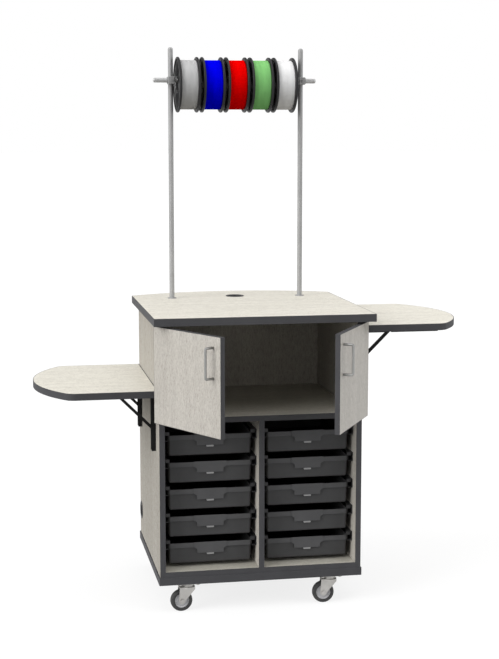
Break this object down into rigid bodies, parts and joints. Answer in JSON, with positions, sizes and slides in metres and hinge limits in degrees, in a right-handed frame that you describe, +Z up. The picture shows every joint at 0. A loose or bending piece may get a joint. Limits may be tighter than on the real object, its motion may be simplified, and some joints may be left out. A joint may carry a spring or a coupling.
{
  "type": "mobile maker cart with filament rack",
  "caption": "Mobile cabinet for filament printing: worktop, folding side wings, open-fronted trays, two doors over a machine bay, a spool rack on posts and swivel casters.",
  "frame": {"origin": "point on the floor, the casters standing at z = 0, under the middle of the whole cart: x = 0 is the middle of the cabinet, y = 0 is halfway between the edges of the open doors and the back of the worktop", "axes": "+Z up; doors and trays face -Y and open that way; +X is to the right for someone looking at the doors"},
  "size_m": [1.594, 1.0875, 2.041],
  "materials": {
    "carcass_laminate": "light greige wood-grain laminate, satin",
    "worktop_laminate": "light wood-grain laminate, satin",
    "dark_edge_band": "graphite edge band",
    "tray_plastic": "dark grey moulded plastic, fine texture",
    "runner_plastic": "near-black plastic",
    "grommet_plastic": "dark plastic",
    "handle_steel": "satin steel bar",
    "hinge_steel": "zinc-plated steel",
    "bracket_steel": "dark grey powder coat",
    "post_paint": "grey powder-coated tube",
    "rod_steel": "plain steel rod",
    "clamp_paint": "grey block with steel screws",
    "screw_steel": "zinc-plated screws",
    "caster_zinc": "zinc-plated pressed steel",
    "caster_tyre": "grey hub with a black rubber tyre",
    "spool_plastic": "black semi-gloss moulding",
    "filament_grey": "light grey filament",
    "filament_blue": "blue filament",
    "filament_red": "red filament",
    "filament_green": "green filament",
    "filament_white": "white filament"
  },
  "bodies": {
    "cabinet": {"side_panel_left": "carcass_laminate", "side_panel_right": "carcass_laminate", "divider_panel": "carcass_laminate", "bottom_panel": "carcass_laminate", "base_board": "dark_edge_band", "fixed_shelf": "carcass_laminate", "back_panel": "carcass_laminate", "worktop_board": "worktop_laminate", "worktop_edging": "dark_edge_band", "panel_edging": "dark_edge_band", "tray_runners": "runner_plastic", "wood_screws": "screw_steel", "cable_grommets": "grommet_plastic", "spool_post_left": "post_paint", "spool_post_right": "post_paint", "spool_rod": "rod_steel", "rod_clamps": "clamp_paint", "caster_plates": "caster_zinc", "bracket_legs": "bracket_steel", "door_hinge_frames": "hinge_steel"},
    "door_left": {"door_left_panel": "carcass_laminate", "door_left_handle": "handle_steel", "door_left_hinge_leaves": "hinge_steel"},
    "door_right": {"door_right_panel": "carcass_laminate", "door_right_handle": "handle_steel", "door_right_hinge_leaves": "hinge_steel"},
    "tray_body_left_1": {"tray_left_1": "tray_plastic"},
    "tray_body_left_2": {"tray_left_2": "tray_plastic"},
    "tray_body_left_3": {"tray_left_3": "tray_plastic"},
    "tray_body_left_4": {"tray_left_4": "tray_plastic"},
    "tray_body_left_5": {"tray_left_5": "tray_plastic"},
    "tray_body_right_1": {"tray_right_1": "tray_plastic"},
    "tray_body_right_2": {"tray_right_2": "tray_plastic"},
    "tray_body_right_3": {"tray_right_3": "tray_plastic"},
    "tray_body_right_4": {"tray_right_4": "tray_plastic"},
    "tray_body_right_5": {"tray_right_5": "tray_plastic"},
    "reel_1": {"spool_1": "spool_plastic", "filament_1": "filament_grey"},
    "reel_2": {"spool_2": "spool_plastic", "filament_2": "filament_blue"},
    "reel_3": {"spool_3": "spool_plastic", "filament_3": "filament_red"},
    "reel_4": {"spool_4": "spool_plastic", "filament_4": "filament_green"},
    "reel_5": {"spool_5": "spool_plastic", "filament_5": "filament_white"},
    "caster_front_left": {"caster_fork_front_left": "caster_zinc"},
    "wheel_front_left": {"caster_wheel_front_left": "caster_tyre"},
    "caster_front_right": {"caster_fork_front_right": "caster_zinc"},
    "wheel_front_right": {"caster_wheel_front_right": "caster_tyre"},
    "caster_rear_left": {"caster_fork_rear_left": "caster_zinc"},
    "wheel_rear_left": {"caster_wheel_rear_left": "caster_tyre"},
    "caster_rear_right": {"caster_fork_rear_right": "caster_zinc"},
    "wheel_rear_right": {"caster_wheel_rear_right": "caster_tyre"},
    "wing_left": {"wing_left_board": "worktop_laminate", "wing_left_arms": "bracket_steel"},
    "brace_left": {"wing_left_braces": "bracket_steel"},
    "wing_right": {"wing_right_board": "worktop_laminate", "wing_right_arms": "bracket_steel"},
    "brace_right": {"wing_right_braces": "bracket_steel"}
  },
  "joints": [
    {"name": "door_left_hinge", "type": "hinge", "parent": "cabinet", "child": "door_left", "pos_m": [-0.3728, -0.2123, 0.878], "axis": [0, 0, -1], "range_deg": [-60, 110]},
    {"name": "door_right_hinge", "type": "hinge", "parent": "cabinet", "child": "door_right", "pos_m": [0.3728, -0.2123, 0.878], "axis": [0, 0, 1], "range_deg": [-60, 110]},
    {"name": "tray_left_1_slide", "type": "slide", "parent": "cabinet", "child": "tray_body_left_1", "axis": [0, -1, 0], "range_m": [0, 0.36]},
    {"name": "tray_left_2_slide", "type": "slide", "parent": "cabinet", "child": "tray_body_left_2", "axis": [0, -1, 0], "range_m": [0, 0.36]},
    {"name": "tray_left_3_slide", "type": "slide", "parent": "cabinet", "child": "tray_body_left_3", "axis": [0, -1, 0], "range_m": [0, 0.36]},
    {"name": "tray_left_4_slide", "type": "slide", "parent": "cabinet", "child": "tray_body_left_4", "axis": [0, -1, 0], "range_m": [0, 0.36]},
    {"name": "tray_left_5_slide", "type": "slide", "parent": "cabinet", "child": "tray_body_left_5", "axis": [0, -1, 0], "range_m": [0, 0.36]},
    {"name": "tray_right_1_slide", "type": "slide", "parent": "cabinet", "child": "tray_body_right_1", "axis": [0, -1, 0], "range_m": [0, 0.36]},
    {"name": "tray_right_2_slide", "type": "slide", "parent": "cabinet", "child": "tray_body_right_2", "axis": [0, -1, 0], "range_m": [0, 0.36]},
    {"name": "tray_right_3_slide", "type": "slide", "parent": "cabinet", "child": "tray_body_right_3", "axis": [0, -1, 0], "range_m": [0, 0.36]},
    {"name": "tray_right_4_slide", "type": "slide", "parent": "cabinet", "child": "tray_body_right_4", "axis": [0, -1, 0], "range_m": [0, 0.36]},
    {"name": "tray_right_5_slide", "type": "slide", "parent": "cabinet", "child": "tray_body_right_5", "axis": [0, -1, 0], "range_m": [0, 0.36]},
    {"name": "reel_1_spin", "type": "hinge", "parent": "cabinet", "child": "reel_1", "pos_m": [-0.19175, 0.296, 1.9004], "axis": [1, 0, 0], "continuous": true},
    {"name": "reel_2_spin", "type": "hinge", "parent": "cabinet", "child": "reel_2", "pos_m": [-0.09945, 0.296, 1.9004], "axis": [1, 0, 0], "continuous": true},
    {"name": "reel_3_spin", "type": "hinge", "parent": "cabinet", "child": "reel_3", "pos_m": [-0.00715, 0.296, 1.9004], "axis": [1, 0, 0], "continuous": true},
    {"name": "reel_4_spin", "type": "hinge", "parent": "cabinet", "child": "reel_4", "pos_m": [0.08515, 0.296, 1.9004], "axis": [1, 0, 0], "continuous": true},
    {"name": "reel_5_spin", "type": "hinge", "parent": "cabinet", "child": "reel_5", "pos_m": [0.17745, 0.296, 1.9004], "axis": [1, 0, 0], "continuous": true},
    {"name": "caster_front_left_swivel", "type": "hinge", "parent": "cabinet", "child": "caster_front_left", "pos_m": [-0.264, -0.173, 0.09], "axis": [0, 0, 1], "continuous": true},
    {"name": "wheel_front_left_spin", "type": "hinge", "parent": "caster_front_left", "child": "wheel_front_left", "pos_m": [-0.28994, -0.17481, 0.04], "axis": [0.0698, -0.9976, 0], "continuous": true},
    {"name": "caster_front_right_swivel", "type": "hinge", "parent": "cabinet", "child": "caster_front_right", "pos_m": [0.264, -0.173, 0.09], "axis": [0, 0, 1], "continuous": true},
    {"name": "wheel_front_right_spin", "type": "hinge", "parent": "caster_front_right", "child": "wheel_front_right", "pos_m": [0.23806, -0.17119, 0.04], "axis": [-0.0698, -0.9976, 0], "continuous": true},
    {"name": "caster_rear_left_swivel", "type": "hinge", "parent": "cabinet", "child": "caster_rear_left", "pos_m": [-0.264, 0.391, 0.09], "axis": [0, 0, 1], "continuous": true},
    {"name": "wheel_rear_left_spin", "type": "hinge", "parent": "caster_rear_left", "child": "wheel_rear_left", "pos_m": [-0.28968, 0.39507, 0.04], "axis": [-0.1564, -0.9877, 0], "continuous": true},
    {"name": "caster_rear_right_swivel", "type": "hinge", "parent": "cabinet", "child": "caster_rear_right", "pos_m": [0.264, 0.391, 0.09], "axis": [0, 0, 1], "continuous": true},
    {"name": "wheel_rear_right_spin", "type": "hinge", "parent": "caster_rear_right", "child": "wheel_rear_right", "pos_m": [0.23819, 0.38783, 0.04], "axis": [0.1219, -0.9925, 0], "continuous": true},
    {"name": "wing_left_fold", "type": "hinge", "parent": "cabinet", "child": "wing_left", "pos_m": [-0.38, 0.125, 0.782], "axis": [0, -1, 0], "range_deg": [0, 90]},
    {"name": "brace_left_hinge", "type": "hinge", "parent": "cabinet", "child": "brace_left", "pos_m": [-0.38, 0.125, 0.662], "axis": [0, -1, 0], "range_deg": [0, 135]},
    {"name": "wing_right_fold", "type": "hinge", "parent": "cabinet", "child": "wing_right", "pos_m": [0.38, 0.125, 0.999], "axis": [0, 1, 0], "range_deg": [0, 90]},
    {"name": "brace_right_hinge", "type": "hinge", "parent": "cabinet", "child": "brace_right", "pos_m": [0.38, 0.125, 0.879], "axis": [0, 1, 0], "range_deg": [0, 135]}
  ],
  "couplings": [
    {"joint": "brace_left_hinge", "follows": "wing_left_fold", "ratio": 1.5},
    {"joint": "brace_right_hinge", "follows": "wing_right_fold", "ratio": 1.5}
  ]
}
